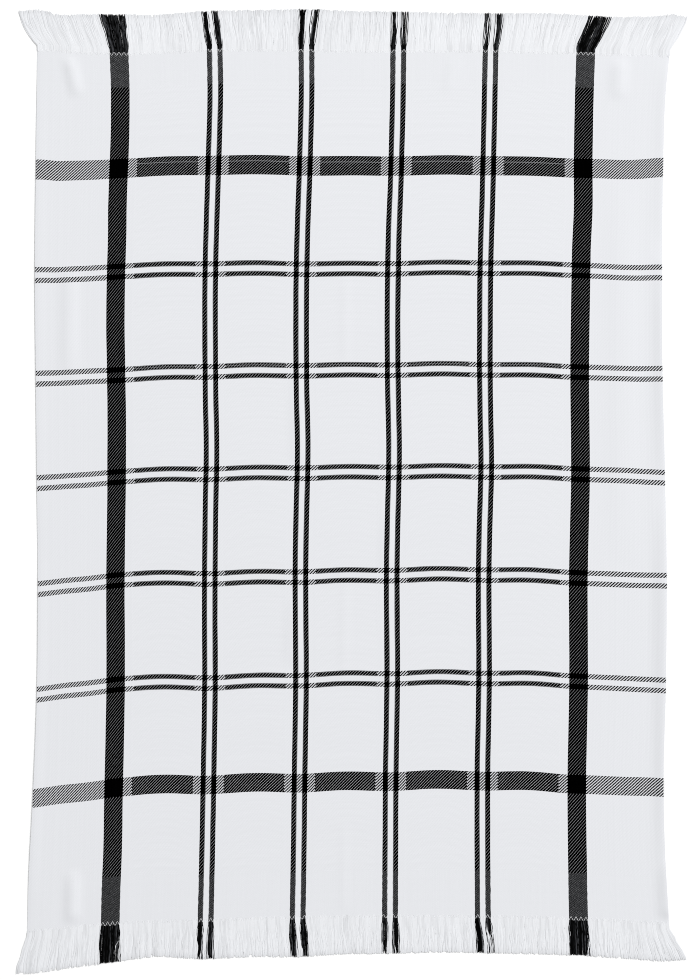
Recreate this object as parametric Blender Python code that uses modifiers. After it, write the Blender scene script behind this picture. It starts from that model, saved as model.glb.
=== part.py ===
"""Tea towel: one woven cotton panel lying face up on the surface, with a cut fringe at each end.

The cloth is described flat, by how far a point lies across it (from its centre line, to the right) and
along it (towards the top end), and is then laid out. The table of sections says where each line across the
cloth came to lie, so the outline is as uneven as the real one. Sizes are in millimetres until a mesh is made.
"""

import random
from collections import namedtuple

import bmesh
import bpy
import numpy as np

MM = 0.001
NAME = "tea_towel"

# The woven panel
CLOTH_WIDTH = 502.0  # selvedge to selvedge
THICKNESS = 1.2
STRIPE_EDGE = 192.9  # outer edge of the wide stripe along each side, from the centre line
STRIPE_LINE = 185.4  # middle of that stripe
PAIR_LINE = 109.5  # middle of the outer pair of thin stripes
END_LEVEL, END_FADE = 3.0, 10.0  # the cloth lies level so far before each fringe, then starts to rise

# Lines across the cloth, from the top fringe down. along is a line's place at the centre line. The drops say
# how far the line sags below that at the left selvedge, the left wide stripe, the outer pair at each side, the
# right wide stripe and the right selvedge. The last four are where the line meets the selvedges and the outer
# edges of the wide stripes.
Section = namedtuple(
    "Section",
    "line along drop_left drop_stripe_l drop_pair_l drop_pair_r drop_stripe_r drop_right"
    " left stripe_l stripe_r right",
)
SECTIONS = [
    Section("top end", 352.8, -1.2, 2.2, -0.8, 0.0, 1.9, 3.4, -250.0, -192.2, 196.0, 255.8),
    Section("top heading", 324.6, 0.8, 2.8, 0.0, 0.0, 2.8, 3.0, -250.4, -191.2, 195.0, 252.8),
    Section("top wide band", 258.8, 4.5, 1.7, -0.8, -0.5, 1.6, 2.3, -251.2, -192.6, 193.7, 250.4),
    Section("thin pair 1", 176.1, 5.7, 1.9, -0.2, -0.9, 0.9, 3.5, -252.0, -194.5, 192.2, 249.6),
    Section("thin pair 2", 95.4, 6.8, 3.6, 0.9, -0.7, 1.2, 3.1, -251.2, -194.4, 191.1, 249.8),
    Section("thin pair 3", 13.7, 8.7, 3.3, 1.2, -0.6, 1.0, 3.9, -250.4, -194.0, 191.7, 252.0),
    Section("thin pair 4", -69.1, 9.6, 3.1, 2.0, -1.0, 1.3, 3.9, -249.6, -194.9, 190.0, 253.2),
    Section("thin pair 5", -151.7, 10.7, 3.9, 2.7, -0.9, 1.4, 4.8, -250.4, -194.8, 190.2, 252.4),
    Section("bottom wide band", -233.9, 12.0, 4.3, 2.0, -1.1, 1.5, 3.8, -253.6, -196.4, 188.8, 250.6),
    Section("bottom heading", -305.4, 11.4, 4.2, 2.5, -0.6, 1.4, 4.4, -257.2, -198.3, 189.5, 252.8),
    Section("bottom end", -343.2, 12.0, 5.8, 3.0, 0.0, 1.8, 5.6, -258.2, -199.3, 190.2, 255.2),
]

# Low ridges where the cloth doesn't lie quite flat: from one end of the crest to the other, how far the ridge
# reaches to each side, and how high it lifts the cloth
Ridge = namedtuple("Ridge", "place x_top y_top x_end y_end reach height")
RIDGES = [
    Ridge("left selvedge, upper", -252.0, 330.0, -252.0, -60.0, 14.0, 0.6),
    Ridge("left selvedge, lower", -251.0, -40.0, -258.0, -340.0, 14.0, 0.8),
    Ridge("left border", -224.0, 182.0, -225.0, 88.0, 10.0, 1.1),
    Ridge("top left corner", -227.0, 356.0, -218.0, 314.0, 7.5, 1.5),
    Ridge("bottom left corner", -221.5, -304.0, -223.0, -366.0, 8.5, 1.7),
    Ridge("top right corner", 217.0, 358.0, 214.0, 312.0, 10.0, 1.2),
    Ridge("right border", 217.0, 262.0, 218.0, -60.0, 18.0, 0.7),
    Ridge("right selvedge, top", 256.0, 345.0, 252.0, 200.0, 14.0, 1.0),
    Ridge("right selvedge, upper", 252.0, 190.0, 253.0, 8.0, 13.0, 1.9),
    Ridge("right selvedge, lower", 253.0, -4.0, 253.5, -320.0, 13.0, 2.2),
    Ridge("bottom right corner", 255.0, -290.0, 257.0, -362.0, 13.0, 2.6),
]

# The fringes
STRIP_GAP = 0.31  # between the cloth's end and the strip that holds the locks' roots
STRIP_WIDTH = 1.8
LOCKS = 140  # in each fringe
ROOT_SHARE = 0.84  # of a lock's pitch that its root takes up
TIP_SHARE = 0.7  # of the root's width and height that is left at a lock's tip
LENGTH_SPREAD = 1.0  # either way, from lock to lock
LEAN_SPREAD = 0.3
TOP_SEED, BOTTOM_SEED = 11, 12

# How the fringe lies, from left to right: its length, how far its tips lean to the right of their roots, and
# which share of the lean is reached halfway along
Lie = namedtuple("Lie", "across length lean bow")
TOP_LIE = [
    Lie(-251.0, 27.3, -14.6, 0.72),
    Lie(-238.0, 29.0, -12.4, 0.62),
    Lie(-222.0, 25.6, -10.5, 0.55),
    Lie(-193.0, 27.9, -8.0, 0.50),
    Lie(-178.0, 27.6, -3.2, 0.50),
    Lie(-150.0, 26.3, -2.6, 0.50),
    Lie(-110.0, 27.5, -4.3, 0.50),
    Lie(-75.0, 28.1, -1.5, 0.50),
    Lie(-43.0, 29.0, 0.5, 0.45),
    Lie(-30.0, 29.2, 4.0, 0.40),
    Lie(0.0, 28.1, 2.2, 0.50),
    Lie(36.0, 27.8, 0.8, 0.50),
    Lie(75.0, 26.6, 0.8, 0.50),
    Lie(110.0, 26.4, 2.8, 0.45),
    Lie(150.0, 27.6, 6.5, 0.45),
    Lie(193.0, 25.6, 12.4, 0.45),
    Lie(225.0, 26.5, 12.0, 0.45),
    Lie(242.0, 28.9, 12.5, 0.50),
    Lie(251.0, 27.2, 13.5, 0.55),
]
BOTTOM_LIE = [
    Lie(-251.0, 29.8, -7.2, 0.66),
    Lie(-240.0, 30.2, -5.6, 0.55),
    Lie(-193.0, 27.5, -1.8, 0.50),
    Lie(-178.0, 26.4, -0.8, 0.50),
    Lie(-150.0, 23.4, 0.0, 0.50),
    Lie(-110.0, 26.9, 0.6, 0.50),
    Lie(-75.0, 26.1, 1.2, 0.50),
    Lie(-36.0, 27.4, 2.0, 0.50),
    Lie(0.0, 25.5, 1.8, 0.50),
    Lie(36.0, 25.8, 1.6, 0.50),
    Lie(75.0, 24.4, 1.4, 0.50),
    Lie(110.0, 24.9, 1.0, 0.50),
    Lie(150.0, 25.0, 0.8, 0.50),
    Lie(193.0, 25.2, 1.2, 0.50),
    Lie(225.0, 26.0, 3.5, 0.45),
    Lie(240.0, 26.7, 8.0, 0.45),
    Lie(251.0, 24.5, 14.2, 0.54),
]

# How finely the panel is divided: its borders, its middle and its length
BORDER_COLUMNS = 15
MIDDLE_COLUMNS = 19
ROWS = 58

WHITE = (0.80, 0.81, 0.84, 1.0)
CLOTH_ROUGHNESS = 0.9
YARN_ROUGHNESS = 0.95


def smooth_curve(at, knots, values):
    """Cubic curve through the values at the knots, read at each place. values has a row for each knot, and
    either one column or one for each place."""
    knots = np.array(knots, dtype=float)
    values = np.broadcast_to(values, (len(knots), len(at)))
    slopes = np.gradient(values, knots, axis=0)
    low = np.clip(np.searchsorted(knots, at) - 1, 0, len(knots) - 2)
    point = np.arange(len(at))
    span = knots[low + 1] - knots[low]
    t = (at - knots[low]) / span
    start, end = values[low, point], values[low + 1, point]
    start_slope, end_slope = slopes[low, point] * span, slopes[low + 1, point] * span
    curve = start * (2 * t**3 - 3 * t**2 + 1) + end * (3 * t**2 - 2 * t**3)
    return curve + start_slope * (t**3 - 2 * t**2 + t) + end_slope * (t**3 - t**2)


def column(name, along):
    """A column of the table of sections, read at these places along the cloth."""
    rising = SECTIONS[::-1]
    return smooth_curve(along, [s.along for s in rising], [[getattr(s, name)] for s in rising])


def lay_out(across, along):
    """Where points of the flat cloth lie in plan."""
    half = CLOTH_WIDTH / 2
    left, stripe_l, stripe_r, right = (
        column(name, along) for name in ("left", "stripe_l", "stripe_r", "right")
    )
    border = half - STRIPE_EDGE
    x = stripe_l + (stripe_r - stripe_l) * (across + STRIPE_EDGE) / (2 * STRIPE_EDGE)
    x = np.where(across < -STRIPE_EDGE, left + (stripe_l - left) * (across + half) / border, x)
    x = np.where(across > STRIPE_EDGE, right + (stripe_r - right) * (half - across) / border, x)

    level = np.zeros(len(across))
    drops = {
        -half: column("drop_left", along),
        -STRIPE_LINE: column("drop_stripe_l", along),
        -PAIR_LINE: column("drop_pair_l", along),
        0.0: level,
        PAIR_LINE: column("drop_pair_r", along),
        STRIPE_LINE: column("drop_stripe_r", along),
        half: column("drop_right", along),
    }
    return x, along - smooth_curve(across, list(drops), np.stack(list(drops.values())))


def lift(x, y, from_end):
    """How high the cloth's underside is at places in plan that lie so far from the cloth's nearer end."""
    height = np.zeros(len(x))
    for ridge in RIDGES:
        run = np.array([ridge.x_end - ridge.x_top, ridge.y_end - ridge.y_top])
        offset = np.stack([x - ridge.x_top, y - ridge.y_top])
        share = np.clip((run @ offset) / (run @ run), 0, 1)
        away = np.hypot(*(offset - share * run[:, None])) / ridge.reach
        taper = 1 - (2 * share - 1) ** 4
        height = np.maximum(height, ridge.height * taper * np.clip(1 - away**2, 0, None) ** 2)
    risen = np.clip((from_end - END_LEVEL) / END_FADE, 0, 1)
    return height * risen**2 * (3 - 2 * risen)


def cloth_columns():
    """Places across the cloth of its mesh's columns, closer together along the sides."""
    half = CLOTH_WIDTH / 2
    border = np.linspace(STRIPE_EDGE, half, BORDER_COLUMNS)
    middle = np.linspace(-STRIPE_EDGE, STRIPE_EDGE, MIDDLE_COLUMNS + 2)[1:-1]
    return np.concatenate([-border[::-1], middle, border])


def cloth_rows():
    """Places along the cloth of its mesh's rows, with the first and last ones around its level ends."""
    low, high = SECTIONS[-1].along, SECTIONS[0].along
    return np.concatenate([[low], np.linspace(low + END_LEVEL, high - END_LEVEL, ROWS - 1), [high]])


def principled(name, colour, roughness):
    """A plain material without metal."""
    material = bpy.data.materials.new(name)
    material.use_nodes = True
    shader = material.node_tree.nodes["Principled BSDF"]
    shader.inputs["Base Color"].default_value = colour
    shader.inputs["Roughness"].default_value = roughness
    shader.inputs["Metallic"].default_value = 0.0
    return material


def add_object(name, bm, material, collection):
    """The object made of a finished bmesh."""
    mesh = bpy.data.meshes.new(name)
    bm.to_mesh(mesh)
    bm.free()
    mesh.materials.append(material)
    thing = bpy.data.objects.new(name, mesh)
    collection.objects.link(thing)
    return thing


def make_cloth(collection):
    """The woven panel: a grid laid out by the table and thickened upwards."""
    columns, rows = cloth_columns(), cloth_rows()
    bm = bmesh.new()
    bmesh.ops.create_grid(bm, x_segments=len(columns) - 1, y_segments=ROWS, size=0.5)
    places = np.array([v.co[:2] for v in bm.verts]) + 0.5
    across = columns[np.rint(places[:, 0] * (len(columns) - 1)).astype(int)]
    along = rows[np.rint(places[:, 1] * ROWS).astype(int)]
    x, y = lay_out(across, along)
    z = lift(x, y, np.minimum(SECTIONS[0].along - along, along - SECTIONS[-1].along))
    for vert, place in zip(bm.verts, np.stack([x, y, z], axis=1) * MM):
        vert.co = place
    cloth = add_object("cloth", bm, principled("woven_cotton", WHITE, CLOTH_ROUGHNESS), collection)
    cloth.data.shade_smooth()
    thicken = cloth.modifiers.new("thickness", "SOLIDIFY")
    thicken.thickness = THICKNESS * MM
    thicken.offset = 1.0


def lock_path(root, lie, way, rng):
    """The middle and the tip of a lock, from the middle of its root."""
    length = lie.length + rng.uniform(-LENGTH_SPREAD, LENGTH_SPREAD)
    lean = lie.lean + rng.uniform(-LEAN_SPREAD, LEAN_SPREAD)
    halfway = root + np.array([lean * lie.bow, way * length / 2])
    return halfway, root + np.array([lean, way * length])


def lie_at(table, across):
    """How the fringe lies at a place across the cloth."""
    knots = [lie.across for lie in table]
    return Lie(across, *(np.interp(across, knots, [lie[i] for lie in table]) for i in (1, 2, 3)))


def grow_lock(bm, face, path):
    """Draws a side face of the strip out along a path into a four-sided tapering lock that lies level."""
    left = TIP_SHARE ** (1 / len(path))
    centre = np.mean([v.co[:2] for v in face.verts], axis=0)
    for place in path:
        target = place * MM
        face = bmesh.ops.extrude_discrete_faces(bm, faces=[face])["faces"][0]
        for vert in face.verts:
            plan = target + (np.array(vert.co[:2]) - centre) * left
            vert.co = (*plan, vert.co.z * left)
        centre = target


def make_fringe(name, end, table, seed, collection):
    """One fringe: a narrow strip along the cloth's end, and the locks that grow from it."""
    way = 1.0 if end.along > 0 else -1.0
    rng = random.Random(seed)
    half = CLOTH_WIDTH / 2
    pitch = CLOTH_WIDTH / LOCKS
    middles = -half + pitch * (np.arange(LOCKS) + 0.5)
    reach = pitch * ROOT_SHARE / 2
    sides = np.stack([middles - reach, middles + reach], axis=1).ravel()

    bm = bmesh.new()

    def strip_edge(across, beyond):
        x, y = lay_out(across, np.full(len(across), end.along))
        return [bm.verts.new(place) for place in zip(x * MM, (y + way * beyond) * MM, 0 * x)]

    outer = strip_edge(sides, STRIP_GAP + STRIP_WIDTH)
    inner = strip_edge(cloth_columns(), STRIP_GAP)
    strip = bm.faces.new(outer + inner[::-1])
    roots = [(outer[2 * i], outer[2 * i + 1]) for i in range(LOCKS)]
    grown = bmesh.ops.extrude_face_region(bm, geom=[strip], use_keep_orig=True)
    for item in grown["geom"]:
        if isinstance(item, bmesh.types.BMVert):
            item.co.z = THICKNESS * MM
    for middle, (left, right) in zip(middles, roots):
        edge = bm.edges.get((left, right))
        face = next(f for f in edge.link_faces if f is not strip)
        root = np.mean([v.co[:2] for v in (left, right)], axis=0) / MM
        grow_lock(bm, face, lock_path(root, lie_at(table, middle), way, rng))
    bmesh.ops.recalc_face_normals(bm, faces=bm.faces)
    add_object(name, bm, principled(name + "_yarn", WHITE, YARN_ROUGHNESS), collection)


def main():
    for thing in list(bpy.data.objects):
        bpy.data.objects.remove(thing)
    collection = bpy.data.collections.new(NAME)
    bpy.context.scene.collection.children.link(collection)
    make_cloth(collection)
    make_fringe("fringe_top", SECTIONS[0], TOP_LIE, TOP_SEED, collection)
    make_fringe("fringe_bottom", SECTIONS[-1], BOTTOM_LIE, BOTTOM_SEED, collection)


main()
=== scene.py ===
from collections import namedtuple

import bpy
import numpy as np
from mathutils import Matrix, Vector


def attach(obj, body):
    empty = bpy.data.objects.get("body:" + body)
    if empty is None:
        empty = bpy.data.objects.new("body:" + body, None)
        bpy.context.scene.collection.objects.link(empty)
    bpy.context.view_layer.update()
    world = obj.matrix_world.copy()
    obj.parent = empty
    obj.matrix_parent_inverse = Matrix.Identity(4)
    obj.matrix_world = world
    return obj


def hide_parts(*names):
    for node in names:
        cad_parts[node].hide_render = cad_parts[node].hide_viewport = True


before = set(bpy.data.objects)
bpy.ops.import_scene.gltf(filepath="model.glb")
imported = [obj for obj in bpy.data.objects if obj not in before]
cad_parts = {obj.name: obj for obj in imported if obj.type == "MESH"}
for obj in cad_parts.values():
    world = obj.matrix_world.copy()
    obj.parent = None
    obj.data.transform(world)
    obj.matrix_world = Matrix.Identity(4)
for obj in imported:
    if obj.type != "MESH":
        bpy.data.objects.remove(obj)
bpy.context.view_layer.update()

MM = 0.001  # sizes below are in millimetres until a mesh is made
SHARP_ANGLE = np.radians(60)  # edges that turn more than this keep a crisp edge in the shading

# ---------------------------------------------------------------- the flat cloth and how it came to lie
CLOTH_WIDTH = 502.0  # selvedge to selvedge
THICKNESS = 0.8  # that of a real tea towel, which is thinner than the solid that stands for it
STRIPE_EDGE = 192.9  # outer edge of the wide stripe along each side, from the centre line
STRIPE_LINE = 185.4  # middle of that stripe
PAIR_LINE = 109.5  # middle of the outer pair of thin stripes
PAIR_SPACING = 73.0
END_LEVEL, END_FADE = 3.0, 10.0  # the cloth lies level so far before each fringe, then starts to rise
RIM, SIDE_RIM = 1.2, 3.0  # the cloth's ends and its selvedges are rounded over these widths
RIM_LINE = 0.3  # the mesh has a line this share of a rim's width inside it
BLUNT = 0.05  # the rounding stops this share of its width before the edge, which leaves the edge a height
COLUMN_PITCH, ROW_PITCH = 2.95, 2.9  # of the panel's mesh, across and along

# Lines across the cloth, from the top fringe down. along is a line's place at the centre line. The drops say
# how far the line sags below that at the left selvedge, the left wide stripe, the outer pair at each side,
# the right wide stripe and the right selvedge. The last four are where the line meets the selvedges and the
# outer edges of the wide stripes.
Section = namedtuple(
    "Section",
    "line along drop_left drop_stripe_l drop_pair_l drop_pair_r drop_stripe_r drop_right"
    " left stripe_l stripe_r right",
)
SECTIONS = [
    Section("top end", 352.8, -1.2, 2.2, -0.8, 0.0, 1.9, 3.4, -250.0, -192.2, 196.0, 255.8),
    Section("top heading", 324.6, 0.8, 2.8, 0.0, 0.0, 2.8, 3.0, -250.4, -191.2, 195.0, 252.8),
    Section("top wide band", 258.8, 4.5, 1.7, -0.8, -0.5, 1.6, 2.3, -251.2, -192.6, 193.7, 250.4),
    Section("thin pair 1", 176.45, 5.7, 1.9, -0.2, -0.9, 0.9, 3.5, -252.0, -194.5, 192.2, 249.6),
    Section("thin pair 2", 95.4, 6.8, 3.6, 0.9, -0.7, 1.2, 3.1, -251.2, -194.4, 191.1, 249.8),
    Section("thin pair 3", 13.7, 8.7, 3.3, 1.2, -0.6, 1.0, 3.9, -250.4, -194.0, 191.7, 252.0),
    Section("thin pair 4", -69.1, 10.3, 3.1, 2.0, -1.0, 1.3, 3.9, -249.6, -194.9, 190.0, 253.2),
    Section("thin pair 5", -151.7, 12.0, 3.9, 2.7, -0.9, 1.4, 4.8, -250.4, -194.8, 190.2, 252.4),
    Section("bottom wide band", -233.9, 12.8, 4.3, 2.0, -1.1, 1.5, 3.8, -253.6, -196.4, 188.8, 250.6),
    Section("bottom heading", -305.4, 11.4, 4.2, 2.5, -0.6, 1.4, 4.4, -257.2, -198.3, 189.5, 252.8),
    Section("bottom end", -343.2, 12.0, 5.8, 3.0, 0.0, 1.8, 5.6, -258.2, -199.3, 190.2, 255.2),
]
PLACES = {section.line: section.along for section in SECTIONS}
TOP_END, BOTTOM_END = PLACES["top end"], PLACES["bottom end"]
ARCHES = (1.5, 0.4)  # how far lines across the cloth rise between two pairs of stripes, at its bottom and top
ARCH_FADE = 70.0  # the rise fades out over this length before each end
ARCHES_REACH = 2.5 * PAIR_SPACING  # from the centre line to each side
# How far the cloth's middle lies to the left of an even spread between the wide stripes, at places along it
SWAYS = {
    -343.2: 0.4, -288.0: 0.1, -176.0: 0.35, -98.0: 0.6, -8.0: 0.7, 37.0: 0.1, 70.0: 0.5, 149.0: 1.3,
    258.8: 0.2, 352.8: 0.0,
}
SWAY_SKEW = 0.8  # the left half sways more than the right one
PAIR_SHIFT = 0.4  # the outer pair at the right lies this far to the right of an even spread
# Places where the threads have slipped sideways: their middle, how far the slip reaches along them, and how
# far to the right it takes them
Slip = namedtuple("Slip", "across along reach right")
SLIPS = [
    Slip(-STRIPE_LINE, 276.0, 35.0, 0.45),
    Slip(-STRIPE_LINE, 198.0, 32.0, 0.45),
    Slip(-STRIPE_LINE, 134.0, 30.0, -0.3),
    Slip(-STRIPE_LINE, 66.0, 38.0, 0.3),
    Slip(-STRIPE_LINE, -280.0, 38.0, 0.45),
    Slip(-PAIR_LINE, 155.0, 100.0, 0.45),
    Slip(-PAIR_LINE, -58.0, 60.0, 0.3),
    Slip(-PAIR_SPACING / 2, 150.0, 80.0, 0.4),
    Slip(PAIR_SPACING / 2, 208.0, 40.0, -0.25),
    Slip(PAIR_LINE, 180.0, 55.0, -0.3),
    Slip(PAIR_LINE, 14.0, 45.0, 0.3),
    Slip(STRIPE_LINE, 228.0, 38.0, 0.85),
]
SLIP_ACROSS = 60.0  # how far a slip reaches to each side
# How the lines of the bands bend in the borders: the middle of the bend, how far it reaches to each side, and
# how far each line sags there, from the bottom end up
Sag = namedtuple("Sag", "across reach depths")
SAGGING = [s.along for s in SECTIONS[::-1] if not s.line.endswith("heading")]
SAGS = [
    Sag(-251.0, 20.0, (0.0, 0.0, 0.0, 0.0, -0.4, -0.3, -1.0, -1.9, 0.0)),
    Sag(-206.0, 25.0, (0.0, 0.75, 0.7, 0.75, 0.5, 0.0, 0.3, 0.4, 0.0)),
    Sag(218.0, 20.0, (0.0, 0.15, 0.0, 0.0, -0.2, 0.1, 0.45, 0.55, 0.0)),
    Sag(251.0, 20.0, (0.0, 0.0, -0.25, -0.5, 0.0, -0.6, -0.9, -1.4, 0.0)),
]

# Low ridges where the cloth doesn't lie quite flat: from one end of the crest to the other, how far the ridge
# reaches to each side, and how high it lifts the cloth
Ridge = namedtuple("Ridge", "place x_top y_top x_end y_end reach height")
RIDGES = [
    Ridge("left selvedge, upper", -252.0, 330.0, -252.0, -60.0, 14.0, 0.6),
    Ridge("left selvedge, lower", -251.0, -40.0, -258.0, -340.0, 14.0, 0.8),
    Ridge("left border", -224.0, 182.0, -225.0, 88.0, 10.0, 1.1),
    Ridge("top left corner", -227.0, 356.0, -218.0, 314.0, 7.5, 1.5),
    Ridge("bottom left corner", -221.5, -304.0, -223.0, -366.0, 8.5, 1.7),
    Ridge("top right corner", 217.0, 358.0, 214.0, 312.0, 10.0, 1.2),
    Ridge("right border", 217.0, 262.0, 218.0, -60.0, 18.0, 0.7),
    Ridge("right selvedge, top", 256.0, 345.0, 252.0, 200.0, 14.0, 1.0),
    Ridge("right selvedge, upper", 252.0, 190.0, 253.0, 8.0, 13.0, 1.9),
    Ridge("right selvedge, lower", 253.0, -4.0, 253.5, -320.0, 13.0, 2.2),
    Ridge("bottom right corner", 255.0, -290.0, 257.0, -362.0, 13.0, 2.6),
]
# Creases that are too slight for the solids
CREASES = [
    Ridge("centre, upper", -4.0, 175.0, -4.0, 95.0, 5.0, 0.3),
    Ridge("centre, lower", -4.0, -65.0, -5.0, -155.0, 5.0, 0.3),
    Ridge("centre, bottom", -5.0, -265.0, -5.0, -350.0, 5.0, 0.3),
    Ridge("pair 2, upper", -42.0, 95.0, -41.5, 20.0, 9.0, 0.6),
    Ridge("pair 2, lower", -44.0, -82.0, -46.0, -140.0, 10.0, 0.7),
    Ridge("pair 3", 32.0, -15.0, 30.0, -66.0, 9.0, 0.6),
    Ridge("under the top fringe", 84.0, 352.0, 78.0, 318.0, 7.0, 0.4),
]

# ---------------------------------------------------------------- the fringes
# How the fringe lies, from left to right: its length past the strip that holds the roots of the part's locks,
# how far its tips lean to the right of their roots, and which share of the lean is reached halfway along
Lie = namedtuple("Lie", "across length lean bow")
TOP_LIE = [
    Lie(-251.0, 27.3, -14.6, 0.72),
    Lie(-238.0, 29.0, -12.4, 0.62),
    Lie(-222.0, 25.6, -10.5, 0.55),
    Lie(-193.0, 27.9, -8.0, 0.50),
    Lie(-178.0, 27.6, -3.2, 0.50),
    Lie(-150.0, 26.3, -2.6, 0.50),
    Lie(-110.0, 27.5, -4.3, 0.50),
    Lie(-75.0, 28.1, -1.5, 0.50),
    Lie(-43.0, 29.0, 0.5, 0.45),
    Lie(-30.0, 29.2, 4.0, 0.40),
    Lie(0.0, 28.1, 2.2, 0.50),
    Lie(36.0, 27.8, 1.0, 0.80),
    Lie(75.0, 26.6, 0.8, 0.50),
    Lie(110.0, 26.4, 2.0, 0.90),
    Lie(150.0, 27.6, 6.5, 0.50),
    Lie(193.0, 25.6, 12.4, 0.52),
    Lie(225.0, 26.5, 12.0, 0.45),
    Lie(242.0, 28.9, 12.5, 0.50),
    Lie(251.0, 27.2, 13.5, 0.55),
]
BOTTOM_LIE = [
    Lie(-251.0, 29.8, -7.2, 0.66),
    Lie(-240.0, 30.2, -5.6, 0.55),
    Lie(-193.0, 27.5, -1.8, 0.50),
    Lie(-178.0, 26.4, -0.8, 0.50),
    Lie(-150.0, 23.4, 0.0, 0.50),
    Lie(-110.0, 26.9, -1.0, 0.80),
    Lie(-75.0, 26.1, 1.2, 0.50),
    Lie(-36.0, 27.4, 2.0, 0.50),
    Lie(0.0, 25.5, 1.8, 0.50),
    Lie(36.0, 25.8, 0.2, 0.60),
    Lie(75.0, 24.4, 1.4, 0.50),
    Lie(110.0, 24.9, 2.2, 0.70),
    Lie(150.0, 25.0, 0.8, 0.50),
    Lie(193.0, 25.2, 1.2, 0.50),
    Lie(225.0, 26.0, 3.5, 0.45),
    Lie(240.0, 26.7, 8.0, 0.45),
    Lie(251.0, 24.5, 14.2, 0.54),
]
STRIP = 2.1  # how far the strip's outer edge lies past the cloth's end
ROOTS = (0.6, 3.8)  # the yarns come out of the cloth's face between these distances before its end
BLACK_ROOT = 0.8  # the same for the black yarns
YARN_SECTION = ((-0.5, 0.0), (-0.24, 1.0), (0.24, 1.0), (0.5, 0.0))  # across and up, as shares of its size
WHITE_YARN, BLACK_YARN = (1.05, 0.12), (0.76, 0.15)  # width and height
YARN_POINTS = 24
TOP_SEED, BOTTOM_SEED = 21, 22  # for what is drawn at random in each fringe
STRAYS, STRAY_LEAN = 0.06, 2.5  # share of the yarns that lie across their neighbours, and how far they lean
CLUMP = (1, 6)  # yarns in a clump, from the first number up to, but without, the second
LEAN_SPREAD, LENGTH_SPREAD = (0.8, 0.4), (0.15, 0.15)  # how far clumps differ, and yarns within a clump
GATHER = 0.15  # how far a clump's yarns draw towards its middle at most, as a share of their way to it
LOOSENED = 9.0  # past this distance from the cloth's end the yarns wave and gather in full
SUNK = 0.06  # how far below the cloth's face the yarns start
SETTLED = 22.0  # distance from the cloth's end at which the yarns have come down to rest
REST, REST_SPREAD = 0.45, (0.12, 0.1)  # height of their rest, and how far clumps and single yarns differ
TONE_SPREAD = (0.8, 0.2)  # shares of a white yarn's tone that are drawn for its clump and for itself
TAPER = 0.6  # size of the last point of a yarn, as a share of the rest
LOCK = (1.9, 0.12)  # width and height of the flat locks that lie below the yarns
LOCK_POINTS = 12
LOCK_ROOT, LOCK_REST, LOCK_DROP = 0.4, 0.40, 0.05  # as for the yarns, and how far below them the locks lie
LOCK_LENGTHS = (-1.8, -0.3)  # how much longer than the yarns the locks are
BLACK_LOCKS = 0.6  # share of the locks under the black yarns that are there
BLACK_LEAN, BLACK_WAVES = 0.25, 0.5  # the black yarns keep together: they lean and wave so much less
SWELL, SWELL_REACH = 0.9, 6.0  # a black bundle soon widens by this much to each side, within this distance
# Waves along a yarn: how many, how far they swing to a side, and how far neighbours differ, in turns
WAVES = ((0.9, 0.50, 0.05), (2.3, 0.20, 0.12), (4.6, 0.07, 1.0))
STITCH_WIDTH, STITCH_HEIGHT = 0.26, 0.18
STITCH_PERIOD, STITCH_MARGIN = 3.9, 1.0  # the zigzag's length, and where it starts inside the selvedge
STITCH_SIDES, LEG_POINTS = 6, 4
TOP_ROWS, BOTTOM_ROWS = (0.2, 3.3), (0.0, 3.9)  # the zigzags run between these distances from the cloth's end

# ---------------------------------------------------------------- the weave, counted in threads
ENDS = 839  # warp threads, counted from the one on the centre line
END_PITCH = CLOTH_WIDTH / ENDS
PAIR_REPEAT = 122  # ends from one pair of thin stripes to the next
PICK_REPEAT = 120  # picks from one pair of thin bands to the next
THIN = (3.5, 10.5)  # a pair's stripes lie this many threads from its middle
WIDE_STRIPE = (297.5, 322.5)  # ends from the centre line
PAIRS_REACH = 244  # ends from the centre line, within which pairs of stripes lie
BANDS_REACH = 300  # picks from the middle thin pair, within which pairs of bands lie
PAIR_MARGIN = 20.5  # from a pair's middle, warp-faced
STRIPE_MARGIN = 285.5  # from the centre line outwards, warp-faced
GROUND_PICK = 0.70
# Picks are counted from the middle of thin pair 3. Each row is a band's line, its width and its picks.
Band = namedtuple("Band", "line width picks first")
BANDS = [
    Band("bottom wide band", 15.0, 25, -373.5),
    Band("thin pair 5", 12.6, 21, -250.5),
    Band("thin pair 4", 12.6, 21, -130.5),
    Band("thin pair 3", 12.6, 21, -10.5),
    Band("thin pair 2", 12.6, 21, 109.5),
    Band("thin pair 1", 12.6, 21, 229.5),
    Band("top wide band", 15.6, 28, 347.5),
]
LIGHT_PICKS = {367: 0.20, 127: 0.12}  # picks that are thin on the face, and how light they look
LIGHT_EDGES = 0.2, 0.12  # the same for a thin band's outermost picks, and for a pair's inner ends
# How the threads wander: width and length of their swings, and twice the most that they swing, in threads
WANDER = (11.0, 40.0, 0.4)
HEADING_WANDER = (2.5, 5.0, 1.0)
DOT = (0.92, 0.40)  # half length and half width of a crossing, which is drawn out along the twill's line
DOT_HEIGHT = 0.6  # of a float's height
FLOAT_ENDS = 0.45  # height of a float's ends, as a share of its middle's
FLOAT_RISE = (1.0, 0.4)  # a float is at its full height so many threads from its end, with a soft turn

# Where a comment says by weave, the first number is for the plain headings and the second for the twill
REPEATS = (2.0, 4.0)  # threads in a repeat, by weave
HOLLOW_SHADE = (0.945, 0.925)  # painted shade: how light the lowest spots of the face look, by weave
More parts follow.
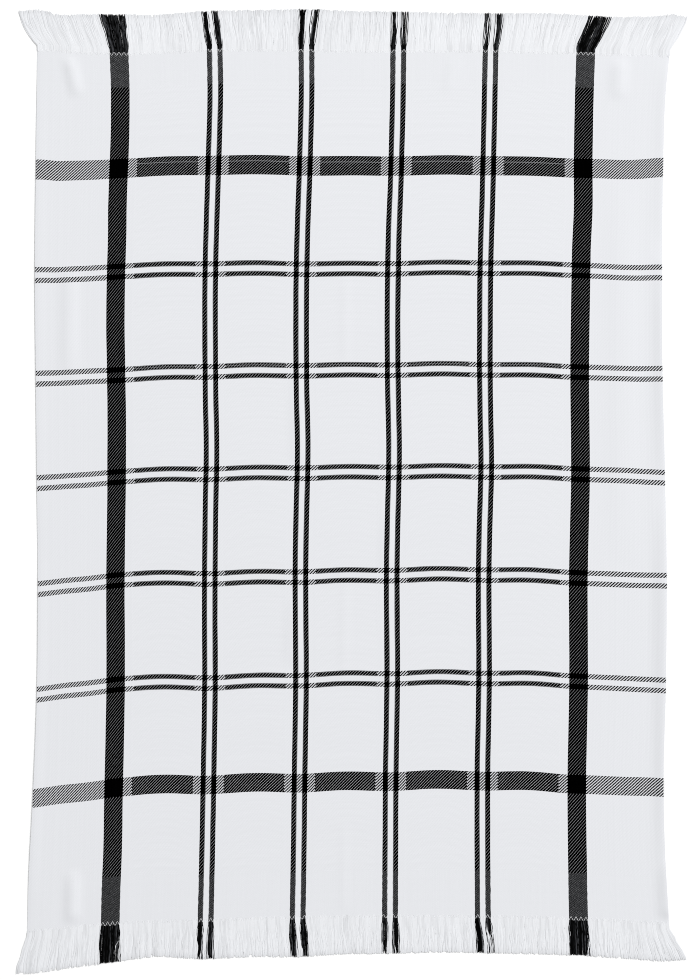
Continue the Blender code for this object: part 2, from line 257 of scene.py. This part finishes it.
# How light a single white crossing among black threads looks, dimmed by black fuzz on it and by painted shade
# where it sits deep between them
HEADING_DOTS = (0.184, 0.143)  # in the top heading, and in the bottom one
TWILL_DOTS = (0.29, 0.54)  # where the cloth is warp-faced, and where it is weft-faced
LOW_DOTS = 1.22  # so much lighter in the twill from the bottom wide band down
DIM_DOTS, BRIGHT_DOTS = (0.6, 0.8), (1.4, 1.2)  # crossings differ between these shares, by weave
# A white float over black threads is dark as far as this from its end, then whitens over so much, by weave:
# partly the black showing through between its ends, partly painted shade in the gaps
FLOAT_DARK, FLOAT_WHITENS = (0.45, 1.0), (1.1, 0.45)
WHITES_DIFFER, BLACKS_DIFFER = (0.99, 1.01), (0.6, 1.4)  # single threads differ between these shares
HEADING_BLACK = 40.0  # black threads look so much lighter in the headings
WEAVE_BUMP, YARN_BUMP = (0.3, 0.10), (0.4, 0.02)  # strength, and depth in millimetres

# ---------------------------------------------------------------- colours
WHITE = (0.748, 0.758, 0.785)
LOOSE_WHITE = (0.736, 0.746, 0.769)
SEWING_WHITE = (0.82, 0.825, 0.84)
BLACK = (0.0003, 0.00031, 0.00034)
FLOOR = (0.98, 0.98, 0.98)
WHITE_TONES = (1.08, 0.84)  # the loose yarns differ between these shares of their colour
BLACK_SHEEN = (1.0, 260.0)  # painted sheen: some black yarns look grey in patches
TIP_LENGTH, TIP_SHADE = 5.0, 0.92  # painted shade: a yarn is greyer towards its tip
TWIST, TWIST_SHADE = 0.9, (0.97, 1.0)  # length of a turn of the yarn's twist, and the painted shade in the grooves between its turns
FUZZ, FUZZ_SHADE = (1.5, 3.0), (0.98, 1.02)  # how fine the fuzz is along and around a yarn, and the painted shade and light that follow its relief
FUZZ_RISE = 0.6  # height of the fuzz in the bump, as a share of the twist's
YARNS_APART = 90.0  # keeps the noise of one yarn from that of the next
PATCH_START, PATCH_GAIN = 0.3, 2.5  # turn the noise's middle range into patches

# ---------------------------------------------------------------- the studio, in metres
FLOOR_SIZE, FLOOR_DROP = 8.0, 0.00002
AMBIENT = 0.66  # strength of the pale surroundings
KEY_PLACE, KEY_SIZE, KEY_POWER = (4.2, 4.4, 5.6), 3.5, 472.0
LENS, SENSOR = 100.0, 36.0  # in millimetres
FRAME_LONG = 0.784  # what the picture's long side takes in


def smooth_curve(at, knots, values):
    """Cubic curve through the values at the knots, read at each place. values has a row for each knot, and
    either one column or one for each place."""
    knots = np.array(knots, dtype=float)
    values = np.broadcast_to(values, (len(knots), len(at)))
    slopes = np.gradient(values, knots, axis=0)
    low = np.clip(np.searchsorted(knots, at) - 1, 0, len(knots) - 2)
    point = np.arange(len(at))
    span = knots[low + 1] - knots[low]
    t = (at - knots[low]) / span
    start, end = values[low, point], values[low + 1, point]
    start_slope, end_slope = slopes[low, point] * span, slopes[low + 1, point] * span
    curve = start * (2 * t**3 - 3 * t**2 + 1) + end * (3 * t**2 - 2 * t**3)
    return curve + start_slope * (t**3 - 2 * t**2 + t) + end_slope * (t**3 - t**2)


def smooth_step(t):
    t = np.clip(t, 0, 1)
    return t**2 * (3 - 2 * t)


def swell(t):
    """1 in the middle, and evenly down to 0 at -1 and 1"""
    return np.clip(1 - t**2, 0, None) ** 2


def column(name, along):
    """A column of the table of sections, read at these places along the cloth."""
    rising = SECTIONS[::-1]
    return smooth_curve(along, [s.along for s in rising], [[getattr(s, name)] for s in rising])


def lay_out(across, along):
    """Where points of the flat cloth lie in plan."""
    half = CLOTH_WIDTH / 2
    left, stripe_l, stripe_r, right = (
        column(name, along) for name in ("left", "stripe_l", "stripe_r", "right")
    )
    border = half - STRIPE_EDGE
    share = across / STRIPE_EDGE
    sway = smooth_curve(along, list(SWAYS), [[sway] for sway in SWAYS.values()])
    x = stripe_l + (stripe_r - stripe_l) * (1 + share) / 2
    x -= sway * (1 - share**2) * (1 - SWAY_SKEW * share)
    x += PAIR_SHIFT * swell((across - PAIR_LINE) / PAIR_SPACING)
    x = np.where(across < -STRIPE_EDGE, left + (stripe_l - left) * (across + half) / border, x)
    x = np.where(across > STRIPE_EDGE, right + (stripe_r - right) * (half - across) / border, x)
    for slip in SLIPS:
        near = swell((across - slip.across) / SLIP_ACROSS) * swell((along - slip.along) / slip.reach)
        x += slip.right * near

    level = np.zeros(len(across))
    drops = {
        -half: column("drop_left", along),
        -STRIPE_LINE: column("drop_stripe_l", along),
        -PAIR_LINE: column("drop_pair_l", along),
        0.0: level,
        PAIR_LINE: column("drop_pair_r", along),
        STRIPE_LINE: column("drop_stripe_r", along),
        half: column("drop_right", along),
    }
    y = along - smooth_curve(across, list(drops), np.stack(list(drops.values())))
    for sag in SAGS:
        depth = smooth_curve(along, SAGGING, [[depth] for depth in sag.depths])
        y -= depth * swell((across - sag.across) / sag.reach)
    between_pairs = 0.5 + 0.5 * np.cos(2 * np.pi * across / PAIR_SPACING)
    inside = (np.abs(across) < ARCHES_REACH) * smooth_step(from_end(along) / ARCH_FADE)
    return x, y + np.interp(along, (BOTTOM_END, TOP_END), ARCHES) * between_pairs * inside


def from_end(along):
    """How far places along the cloth are from its nearer end."""
    return np.minimum(TOP_END - along, along - BOTTOM_END)


def lift(x, y, to_end):
    """How high the cloth's underside is at places in plan that lie so far from the cloth's nearer end."""
    height = np.zeros(len(x))
    for ridge in RIDGES + CREASES:
        run = np.array([ridge.x_end - ridge.x_top, ridge.y_end - ridge.y_top])
        offset = np.stack([x - ridge.x_top, y - ridge.y_top])
        share = np.clip((run @ offset) / (run @ run), 0, 1)
        away = np.hypot(*(offset - share * run[:, None])) / ridge.reach
        taper = 1 - (2 * share - 1) ** 4
        height = np.maximum(height, ridge.height * taper * swell(away))
    return height * smooth_step((to_end - END_LEVEL) / END_FADE)


def picks_at(along):
    """The pick that lies at places along the cloth, counted from the middle of the cloth's middle band."""
    places, picks = [], []
    for band in BANDS:
        places += [PLACES[band.line] - band.width / 2, PLACES[band.line] + band.width / 2]
        picks += [band.first, band.first + band.picks]
    below = (places[0] - BOTTOM_END) / GROUND_PICK
    above = (TOP_END - places[-1]) / GROUND_PICK
    places = [BOTTOM_END, *places, TOP_END]
    picks = [picks[0] - below, *picks, picks[-1] + above]
    return np.interp(along, places, picks)


# ---------------------------------------------------------------- materials
class Field:
    """A number that shader nodes work out, so that a pattern can be written as arithmetic."""

    def __init__(self, tree, socket):
        self.tree, self.socket = tree, socket

    def maths(self, operation, *others):
        node = self.tree.nodes.new("ShaderNodeMath")
        node.operation = operation
        for place, value in enumerate((self, *others)):
            put(self.tree, node.inputs[place], value)
        return Field(self.tree, node.outputs[0])

    def __add__(self, other):
        return self.maths("ADD", other)

    def __sub__(self, other):
        return self.maths("SUBTRACT", other)

    def __mul__(self, other):
        return self.maths("MULTIPLY", other)

    def __truediv__(self, other):
        return self.maths("DIVIDE", other)

    def __lt__(self, other):
        return self.maths("LESS_THAN", other)

    def __gt__(self, other):
        return self.maths("GREATER_THAN", other)

    def __abs__(self):
        return self.maths("ABSOLUTE")

    __radd__ = __add__

    def less_from(self, whole):
        """whole - self"""
        return self.maths("MULTIPLY_ADD", -1.0, whole)

    def flipped(self):
        return self.less_from(1.0)

    def within(self, limits):
        return (self > limits[0]) * (self < limits[1])

    def mixed(self, low, high):
        """low where this is 0, high where it is 1"""
        if isinstance(high, Field) or isinstance(low, Field):
            return self * high + self.flipped() * low
        return self.maths("MULTIPLY_ADD", high - low, low)

    def clamped(self):
        node = self.maths("ADD", 0.0)
        node.socket.node.use_clamp = True
        return node

    def round_section(self):
        """Height of a round thread, this share of its half width away from its middle"""
        return (self * self).flipped().maths("MAXIMUM", 0.0).maths("SQRT")


def put(tree, socket, value):
    """Sets a socket, or links it to what works its value out."""
    if isinstance(value, Field):
        tree.links.new(value.socket, socket)
    else:
        socket.default_value = value


def add_node(tree, kind, settings=(), **inputs):
    node = tree.nodes.new(kind)
    for name, value in dict(settings).items():
        setattr(node, name, value)
    for name, value in inputs.items():
        put(tree, node.inputs[name.replace("_", " ")], value)
    return node


def new_material(name, roughness, specular):
    """A material, its node tree and its shader."""
    material = bpy.data.materials.new(name)
    material.use_nodes = True
    tree = material.node_tree
    shader = tree.nodes["Principled BSDF"]
    shader.inputs["Roughness"].default_value = roughness
    shader.inputs["Specular IOR Level"].default_value = specular
    return material, tree, shader


def read_attribute(tree, name):
    reader = add_node(tree, "ShaderNodeAttribute", {"attribute_name": name})
    parts = add_node(tree, "ShaderNodeSeparateXYZ")
    tree.links.new(reader.outputs["Vector"], parts.inputs[0])
    return [Field(tree, parts.outputs[axis]) for axis in "XYZ"]


def vector(tree, *parts):
    node = add_node(tree, "ShaderNodeCombineXYZ")
    for place, part in enumerate(parts):
        put(tree, node.inputs[place], part)
    return Field(tree, node.outputs[0])


def noise(tree, x, y, detail=1.0):
    inputs = {"Vector": vector(tree, x, y), "Scale": 1.0, "Detail": detail}
    return Field(tree, add_node(tree, "ShaderNodeTexNoise", {"noise_dimensions": "2D"}, **inputs).outputs[0])


def chance(tree, *parts):
    """A number from 0 to 1 that is drawn anew for each thread or crossing."""
    node = add_node(tree, "ShaderNodeTexWhiteNoise", {"noise_dimensions": "3D"})
    tree.links.new(vector(tree, *parts).socket, node.inputs["Vector"])
    return Field(tree, node.outputs["Value"])


def tint(tree, colour, strength):
    """A colour made stronger or weaker by a field."""
    node = add_node(tree, "ShaderNodeVectorMath", {"operation": "SCALE"})
    node.inputs[0].default_value = colour
    put(tree, node.inputs["Scale"], strength)
    return Field(tree, node.outputs[0])


def add_bump(tree, shader, height, strength, depth):
    bump = add_node(tree, "ShaderNodeBump", Height=height, Strength=strength, Distance=depth * MM)
    tree.links.new(bump.outputs[0], shader.inputs["Normal"])


def mix_colours(tree, share, low, high):
    node = add_node(tree, "ShaderNodeMix", {"data_type": "RGBA"})
    put(tree, node.inputs["Factor"], share)
    put(tree, node.inputs[6], low)
    put(tree, node.inputs[7], high)
    return Field(tree, node.outputs[2])


def wandering(tree, end, pick, width, length, amount, apart=0.0):
    """The ends and picks of threads that swing to their sides."""
    end = end + (noise(tree, end / width, pick / length) - 0.5) * amount
    pick = pick + (noise(tree, end / length, pick / width + apart) - 0.5) * amount
    return end, pick


def woven_cotton():
    """The weave, thread by thread: a twill whose lines rise to the right, with a plain-woven heading at each
    end. It reads the attribute "threads", which holds the end and the pick at each point of the cloth."""
    material, tree, shader = new_material("woven_cotton", roughness=0.95, specular=0.0)
    end, pick, _ = read_attribute(tree, "threads")

    # no thread runs quite straight, and those of the headings least of all
    heading_top, heading_bottom = picks_at(np.array([PLACES["top heading"], PLACES["bottom heading"]]))
    twill_picks = (float(heading_bottom), float(heading_top))
    width, length, amount = HEADING_WANDER
    heading_amount = pick.within(twill_picks).mixed(amount, 0.0)
    end, pick = wandering(tree, end, pick, *WANDER)
    end, pick = wandering(tree, end, pick, width, length, heading_amount, apart=50.0)
    this_end = (end + 0.5).maths("FLOOR")
    this_pick = (pick + 0.5).maths("FLOOR")
    u, v = end - this_end, pick - this_pick  # from -0.5 to 0.5 across each thread

    # which threads are black
    out = abs(this_end)
    within_pairs = out.maths("MINIMUM", PAIRS_REACH)
    from_pair = within_pairs.maths("PINGPONG", PAIR_REPEAT / 2).less_from(PAIR_REPEAT / 2)
    black_end = from_pair.within(THIN) + out.within(WIDE_STRIPE)
    up = abs(this_pick)
    from_thin_pair = this_pick.maths("PINGPONG", PICK_REPEAT / 2)
    thin_band = from_thin_pair.within(THIN) * (up < BANDS_REACH)
    top_band, bottom_band = BANDS[-1], BANDS[0]
    black_pick = (
        thin_band
        + this_pick.within((top_band.first, top_band.first + top_band.picks))
        + this_pick.within((bottom_band.first, bottom_band.first + bottom_band.picks))
    )
    light = sum((abs(this_pick - pick) < 0.5) * share for pick, share in LIGHT_PICKS.items())
    inner_picks = from_thin_pair.within((THIN[0] + 1, THIN[1] - 1))
    light = light + thin_band * inner_picks.flipped() * LIGHT_EDGES[0]
    light_end = from_pair.within((THIN[0], THIN[0] + 1)) * LIGHT_EDGES[1]

    # how they cross: a short crossing shows in one cell of each repeat, and long floats cover the rest
    twill = this_pick.within(twill_picks)
    repeat = twill.mixed(*REPEATS)
    weft_faced = twill * (from_pair > PAIR_MARGIN) * (out < STRIPE_MARGIN)
    crossing = (this_end - this_pick).maths("FLOORED_MODULO", repeat) < 0.5
    along_line, across_line = (u + v) / DOT[0], (u - v) / DOT[1]
    from_middle = (along_line * along_line + across_line * across_line).maths("SQRT")
    dot = crossing * (from_middle < 1.0)
    warp_on_top = abs(weft_faced.flipped() - dot)

    # heights, which paint shade into the threads' colour and lift them in the bump
    side = weft_faced.mixed(u, v) * 2.0
    float_run = weft_faced.mixed(pick - this_end, end - this_pick).maths("PINGPONG", repeat * 0.5)
    rise = FLOAT_ENDS + float_run.maths("SMOOTH_MIN", *FLOAT_RISE) * (1 - FLOAT_ENDS)
    height = dot.mixed(side.round_section() * rise, from_middle.round_section() * DOT_HEIGHT)
    shade = height.mixed(twill.mixed(*HOLLOW_SHADE), 1.0)

    # what lies under a white thread darkens it, the more so the nearer the float is to its end: partly the
    # black showing through, partly painted shade where the white dips between black threads
    black_top = warp_on_top.mixed(black_pick, black_end)
    black_under = warp_on_top.mixed(black_end, black_pick)
    spot = chance(tree, this_end, this_pick, 0.5)
    lower = this_pick < bottom_band.first + bottom_band.picks
    twill_share = weft_faced.mixed(*TWILL_DOTS) * lower.mixed(1.0, LOW_DOTS)
    dot_share = twill.mixed(lower.mixed(*HEADING_DOTS), twill_share)
    dot_share = dot_share * spot.mixed(twill.mixed(*DIM_DOTS), twill.mixed(*BRIGHT_DOTS))
    float_share = (float_run - twill.mixed(*FLOAT_DARK)) / twill.mixed(*FLOAT_WHITENS)
    show_through_and_shade = black_under.mixed(1.0, dot.mixed(float_share, dot_share)).clamped()
    thread = warp_on_top.mixed(chance(tree, 0.5, this_pick, 0.5), chance(tree, this_end, 0.5, 0.5))
    white = tint(tree, WHITE, shade * show_through_and_shade * thread.mixed(*WHITES_DIFFER))
    black = tint(tree, BLACK, shade * thread.mixed(*BLACKS_DIFFER) * twill.mixed(HEADING_BLACK, 1.0))
    light = warp_on_top.mixed(light * weft_faced, light_end * weft_faced.flipped())
    shown_black = black_top * light.flipped()
    colour = mix_colours(tree, shown_black, white, black)
    tree.links.new(colour.socket, shader.inputs["Base Color"])

    add_bump(tree, shader, height, *WEAVE_BUMP)
    return material


def cotton_yarn(name, colour, tones=(1.0, 1.0), power=1.0, patch=25.0):
    """Loose yarn whose tone runs between two limits, in patches of about this length. It reads the attribute
    "yarn": a number drawn for each yarn, the length to its tip in millimetres, and the turn around it."""
    material, tree, shader = new_material(name, roughness=0.95, specular=0.04)
    drawn, length, turn = read_attribute(tree, "yarn")
    # painted shade: the yarn greys towards its tip
    shaded_tip = (length / TIP_LENGTH).clamped().mixed(TIP_SHADE, 1.0)
    twist = ((length / TWIST + turn) * 2 * np.pi).maths("SINE") * 0.5 + 0.5
    fuzz = noise(tree, length * FUZZ[0], drawn * YARNS_APART + turn * FUZZ[1], detail=2.0)
    patches = ((noise(tree, length / patch, drawn * YARNS_APART) - PATCH_START) * PATCH_GAIN).clamped()
    # for black yarn, the grey patches are painted sheen
    shade = (drawn.maths("POWER", power) * patches).mixed(*tones)
    # painted shade and light that follow the relief of the twist and the fuzz
    strength = shade * shaded_tip * twist.mixed(*TWIST_SHADE) * fuzz.mixed(*FUZZ_SHADE)
    tree.links.new(tint(tree, colour, strength).socket, shader.inputs["Base Color"])
    add_bump(tree, shader, twist + fuzz * FUZZ_RISE, *YARN_BUMP)
    return material


# ---------------------------------------------------------------- pieces
def new_piece(name, points, faces, material, node, attribute, values):
    """A smooth mesh piece that stands for a CAD node, with a vector attribute for its material. Its points
    are in millimetres."""
    mesh = bpy.data.meshes.new(name)
    mesh.from_pydata(points * MM, [], faces)
    mesh.shade_smooth()
    mesh.set_sharp_from_angle(angle=SHARP_ANGLE)
    mesh.attributes.new(attribute, "FLOAT_VECTOR", "POINT").data.foreach_set("vector", values.ravel())
    mesh.materials.append(material)
    piece = bpy.data.objects.new(name, mesh)
    bpy.context.scene.collection.objects.link(piece)
    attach(piece, "root")
    if node:
        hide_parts(node)
    return piece


def spread(low, high, pitch):
    """Places from low up to, but without, high."""
    count = max(1, round((high - low) / pitch))
    return np.linspace(low, high, count, endpoint=False)


def grid_lines(marks, pitch, rim):
    """Places between the marks about a pitch apart, with each mark among them and two more beside each end
    for the rounded rim."""
    low_rim = [marks[0], marks[0] + rim * RIM_LINE, marks[0] + rim]
    high_rim = [marks[-1] - rim, marks[-1] - rim * RIM_LINE, marks[-1]]
    stops = [*low_rim, *marks[1:-1], *high_rim]
    lines = [spread(low, high, pitch) for low, high in zip(stops, stops[1:])]
    return np.concatenate([*lines, stops[-1:]])


def make_cloth():
    """The woven panel as a closed sheet with rounded rims."""
    half = CLOTH_WIDTH / 2
    columns = grid_lines([-half, -STRIPE_EDGE, STRIPE_EDGE, half], COLUMN_PITCH, SIDE_RIM)
    edges = [PLACES[band.line] + way * band.width / 2 for band in BANDS for way in (-1, 1)]
    rows = grid_lines([BOTTOM_END, *edges, TOP_END], ROW_PITCH, RIM)
    across, along = (grid.ravel() for grid in np.meshgrid(columns, rows))
    x, y = lay_out(across, along)
    to_end = from_end(along)
    middle = lift(x, y, to_end) + THICKNESS / 2
    into_rim = np.minimum((half - np.abs(across)) / SIDE_RIM, to_end / RIM)
    round_off = np.sqrt(1 - (1 - np.clip(into_rim, BLUNT, 1)) ** 2)
    upper = np.stack([x, y, middle + round_off * THICKNESS / 2], axis=1)
    lower = np.stack([x, y, middle - round_off * THICKNESS / 2], axis=1)
    threads = np.stack([across / END_PITCH, picks_at(along), 0 * x], axis=1)

    wide, tall = len(columns), len(rows)
    index = np.arange(wide * tall).reshape(tall, wide)
    corners = index[:-1, :-1], index[:-1, 1:], index[1:, 1:], index[1:, :-1]
    top_faces = np.stack([corner.ravel() for corner in corners], axis=1)
    bottom_faces = top_faces[:, ::-1] + wide * tall
    rim = np.concatenate([index[0, :-1], index[:-1, -1], index[-1, :0:-1], index[:0:-1, 0]])
    ahead = np.roll(rim, -1)
    rim_faces = np.stack([rim, rim + wide * tall, ahead + wide * tall, ahead], axis=1)
    faces = np.concatenate([top_faces, bottom_faces, rim_faces])
    points = np.concatenate([upper, lower])
    return new_piece("cloth_panel", points, faces.tolist(), woven_cotton(), "cloth",
                     "threads", np.concatenate([threads, threads]))


def tubes(paths, sizes, section):
    """Points and faces of closed tubes that follow paths, given as arrays of tube, point and place. section
    is the outline of their ends, across and up, and sizes scale it along each tube."""
    ahead = np.gradient(paths, axis=1)
    ahead /= np.linalg.norm(ahead, axis=2, keepdims=True)
    side = np.cross(ahead, (0.0, 0.0, 1.0))
    side /= np.linalg.norm(side, axis=2, keepdims=True)
    up = np.cross(side, ahead)
    section = np.array(section)
    ring = side[:, :, None] * section[:, :1] + up[:, :, None] * section[:, 1:]
    points = paths[:, :, None] + sizes[:, :, None, None] * ring
    index = np.arange(points[..., 0].size).reshape(points.shape[:3])
    beside = np.roll(index, -1, axis=2)
    walls = np.stack([index[:, :-1], beside[:, :-1], beside[:, 1:], index[:, 1:]], axis=-1)
    ends = [index[:, 0, ::-1], index[:, -1]]
    faces = walls.reshape(-1, 4).tolist() + [ring for cap in ends for ring in cap.tolist()]
    return points.reshape(-1, 3), faces


def yarn_numbers(paths, sides, drawn):
    """For each point of tubes: the number drawn for its yarn, the length to its tip and the turn around."""
    steps = np.linalg.norm(np.diff(paths, axis=1), axis=2)[:, ::-1]
    length = np.concatenate([np.zeros((len(paths), 1)), np.cumsum(steps, axis=1)], axis=1)[:, ::-1]
    turn = np.arange(sides) / sides
    numbers = np.broadcast_arrays(drawn[:, None, None], length[:, :, None], turn)
    return np.stack(numbers, axis=-1).reshape(-1, 3)


def is_black(ends):
    """Which warp ends, counted from the one on the centre line, are black."""
    out = np.abs(ends)
    from_pair = np.abs(np.minimum(out, PAIRS_REACH) % PAIR_REPEAT - PAIR_REPEAT / 2)
    return (from_pair > THIN[0]) & (from_pair < THIN[1]) | (out > WIDE_STRIPE[0]) & (out < WIDE_STRIPE[1])


def bundle_places(ends):
    """Where warp ends are in their black stripe, from -1 to 1 across it, and 0 for the white ones."""
    black = is_black(ends)
    run = np.cumsum(np.diff(black, prepend=False))
    count = np.bincount(run)
    middle = np.bincount(run, ends) / count
    return black * (ends - middle[run]) / (count[run] / 2)


def lying_course(across, start, end_place, table, points, add_length=0.0, add_lean=0.0):
    """Where loose yarn lies in plan past the cloth's end, as arrays of yarn and point, with how far it has
    run beyond that end and which share of its free length it has run. Each yarn starts so far before the
    end."""
    knots, *lies = zip(*table)
    length, lean, bow = (np.interp(across, knots, values)[:, None] for values in lies)
    length, lean = length + add_length, lean + add_lean
    beyond = np.linspace(0, 1, points) * (length + STRIP + start) - start
    free = np.clip((beyond - STRIP) / length, 0, 1)
    x, y = lay_out(across, np.full(len(across), end_place))
    course = (4 * bow - 1) * free + (2 - 4 * bow) * free**2
    return x[:, None] + lean * course, y[:, None] + np.sign(end_place) * beyond, beyond, free


def settle(beyond, rest):
    """Height of loose yarn, which leaves the cloth's face and comes down to its rest."""
    down = smooth_step(beyond / SETTLED)
    return (1 - down) * (THICKNESS - SUNK) + down * rest


def yarn_paths(end_place, table, rng):
    """The course of each warp end past the cloth's end, and a number for its tone. Neighbours cling together
    in small clumps."""
    ends = np.arange(ENDS) - ENDS // 2
    across = ends * END_PITCH
    clump = np.repeat(np.arange(ENDS), rng.integers(*CLUMP, ENDS))[:ENDS]
    middle = (np.bincount(clump, across) / np.maximum(np.bincount(clump), 1))[clump]

    def drawn(together, alone):
        """A number for each yarn, part of it shared by its clump."""
        return rng.normal(0, together, ENDS)[clump][:, None] + rng.normal(0, alone, (ENDS, 1))

    start = np.where(is_black(ends), BLACK_ROOT, rng.uniform(*ROOTS, ENDS))[:, None]
    lean = drawn(*LEAN_SPREAD)
    lean += STRAY_LEAN * rng.normal(size=(ENDS, 1)) * (rng.uniform(size=(ENDS, 1)) < STRAYS)
    lean *= np.where(is_black(ends), BLACK_LEAN, 1.0)[:, None]
    longer = drawn(*LENGTH_SPREAD)
    x, y, beyond, free = lying_course(across, start, end_place, table, YARN_POINTS, longer, lean)
    loose = np.clip(beyond / LOOSENED, 0, 1)
    calm = np.where(is_black(ends), BLACK_WAVES, 1.0)[:, None]
    gather = GATHER * rng.uniform(0, 1, ENDS)[clump][:, None]
    x += (middle - across)[:, None] * gather * loose
    x += SWELL * bundle_places(ends)[:, None] * smooth_step(beyond / SWELL_REACH)
    for waves, swing, apart in WAVES:
        turns = rng.uniform(0, 1, ENDS)[clump][:, None] + rng.uniform(-apart, apart, (ENDS, 1))
        x += swing * loose * calm * np.sin(2 * np.pi * (waves * free + turns))
    rest = REST + REST_SPREAD[0] * rng.uniform(0, 1, ENDS)[clump] + REST_SPREAD[1] * rng.uniform(0, 1, ENDS)
    alone = rng.uniform(0, 1, ENDS)
    together = rng.uniform(0, 1, ENDS)[clump]
    tone = np.where(is_black(ends), alone, TONE_SPREAD[1] * alone + TONE_SPREAD[0] * together)
    return np.stack([x, y, settle(beyond, rest[:, None])], axis=-1), tone


def lock_paths(end_place, table, rng):
    """The course of the flat locks that fill the fringe from below, one for every other warp end, and which
    of them are black."""
    ends = np.arange(-(ENDS // 2) + 1, ENDS // 2, 2)
    longer = rng.uniform(*LOCK_LENGTHS, (len(ends), 1))
    x, y, beyond, _ = lying_course(ends * END_PITCH, LOCK_ROOT, end_place, table, LOCK_POINTS, longer)
    return np.stack([x, y, settle(beyond, LOCK_REST) - LOCK_DROP], axis=-1), is_black(ends)


def make_fringe(name, end_place, table, seed, white_yarn, black_yarn):
    """The loose warp ends past one end of the cloth, white and black."""
    rng = np.random.default_rng(seed)
    yarns, tones = yarn_paths(end_place, table, rng)
    black = is_black(np.arange(ENDS) - ENDS // 2)
    locks, black_lock = lock_paths(end_place, table, rng)
    kept = black_lock & (rng.uniform(size=len(locks)) < BLACK_LOCKS)
    white_kinds = [(yarns[~black], tones[~black], WHITE_YARN), (locks[~black_lock], None, LOCK)]
    black_kinds = [(yarns[black], tones[black], BLACK_YARN), (locks[kept], None, LOCK)]
    return [
        make_yarns(name + "_white", white_kinds, name, white_yarn),
        make_yarns(name + "_black", black_kinds, name, black_yarn),
    ]


def make_yarns(name, kinds, node, material):
    """One piece of flattish yarns. Each kind has its paths, a number for each yarn's tone, and its width and
    height."""
    points, faces, numbers = [], [], []
    for paths, tones, (width, height) in kinds:
        section = np.array(YARN_SECTION) * (width, height)
        taper = np.ones(paths.shape[:2])
        taper[:, -1] = TAPER
        placed, joined = tubes(paths, taper, section)
        first = sum(len(part) for part in points)
        points.append(placed)
        faces += [[first + corner for corner in face] for face in joined]
        numbers.append(yarn_numbers(paths, len(section), np.zeros(len(paths)) if tones is None else tones))
    points, numbers = np.concatenate(points), np.concatenate(numbers)
    return new_piece(name, points, faces, material, node, "yarn", numbers)


def make_stitch(name, end_place, rows, sewing_thread):
    """The zigzag seam that holds the last picks: one thread on the face and one on the back."""
    way = np.sign(end_place)
    reach = CLOTH_WIDTH / 2 - STITCH_MARGIN
    legs = 2 * round(2 * reach / STITCH_PERIOD)
    across = np.linspace(-reach, reach, LEG_POINTS * legs + 1)
    swing = np.abs((np.arange(len(across)) / LEG_POINTS) % 2 - 1)
    inset = rows[0] + (rows[1] - rows[0]) * swing
    x, y = lay_out(across, end_place - way * inset)
    dip = np.abs(2 * swing - 1) ** 4 * STITCH_HEIGHT  # the thread goes down into the cloth at each turn
    paths = np.stack([
        np.stack([x, y, THICKNESS + STITCH_HEIGHT / 2 - dip], axis=-1),
        np.stack([x, y, STITCH_HEIGHT / 2 + dip], axis=-1),
    ])
    turn = np.linspace(0, 2 * np.pi, STITCH_SIDES, endpoint=False)
    section = np.stack([np.cos(turn) * STITCH_WIDTH / 2, np.sin(turn) * STITCH_HEIGHT / 2], axis=1)
    points, faces = tubes(paths, np.ones(paths.shape[:2]), section)
    numbers = yarn_numbers(paths, STITCH_SIDES, np.zeros(len(paths)))
    return new_piece(name, points, faces, sewing_thread, None, "yarn", numbers)


def make_floor():
    bpy.ops.mesh.primitive_plane_add(size=FLOOR_SIZE, location=(0, 0, -FLOOR_DROP))
    floor = bpy.context.object
    floor.name = "floor"
    material, tree, shader = new_material("floor_paint", roughness=0.9, specular=0.1)
    shader.inputs["Base Color"].default_value = (*FLOOR, 1)
    floor.data.materials.append(material)


def make_key_light():
    data = bpy.data.lights.new("key", "AREA")
    data.shape, data.size, data.energy = "DISK", KEY_SIZE, KEY_POWER
    light = bpy.data.objects.new("key", data)
    light.location = KEY_PLACE
    light.rotation_euler = (-Vector(KEY_PLACE)).to_track_quat("-Z", "Y").to_euler()  # aimed at the origin
    bpy.context.scene.collection.objects.link(light)


def make_studio():
    """Pale surroundings, a large soft light above to the right, and a camera that looks straight down."""
    scene = bpy.context.scene
    make_floor()
    scene.world = bpy.data.worlds.new("studio")
    scene.world.use_nodes = True
    background = scene.world.node_tree.nodes["Background"]
    background.inputs["Color"].default_value = (1, 1, 1, 1)
    background.inputs["Strength"].default_value = AMBIENT
    make_key_light()

    camera = bpy.data.objects.new("camera", bpy.data.cameras.new("camera"))
    camera.data.lens, camera.data.sensor_width = LENS, SENSOR
    camera.location = (0, 0, FRAME_LONG * LENS / SENSOR)
    scene.collection.objects.link(camera)
    scene.camera = camera
    scene.view_settings.view_transform = "Standard"
    scene.cycles.denoising_prefilter = "NONE"  # the prefilter blurs the weave away
    scene.cycles.filter_width = 1.0  # the default softens the twill too much


make_studio()
cloth = make_cloth()
white_yarn = cotton_yarn("white_yarn", LOOSE_WHITE, WHITE_TONES)
black_yarn = cotton_yarn("black_yarn", BLACK, BLACK_SHEEN, power=2.6, patch=5.0)
sewing_thread = cotton_yarn("sewing_thread", SEWING_WHITE)
trim = [
    *make_fringe("fringe_top", TOP_END, TOP_LIE, TOP_SEED, white_yarn, black_yarn),
    *make_fringe("fringe_bottom", BOTTOM_END, BOTTOM_LIE, BOTTOM_SEED, white_yarn, black_yarn),
    make_stitch("stitch_top", TOP_END, TOP_ROWS, sewing_thread),
    make_stitch("stitch_bottom", BOTTOM_END, BOTTOM_ROWS, sewing_thread),
]
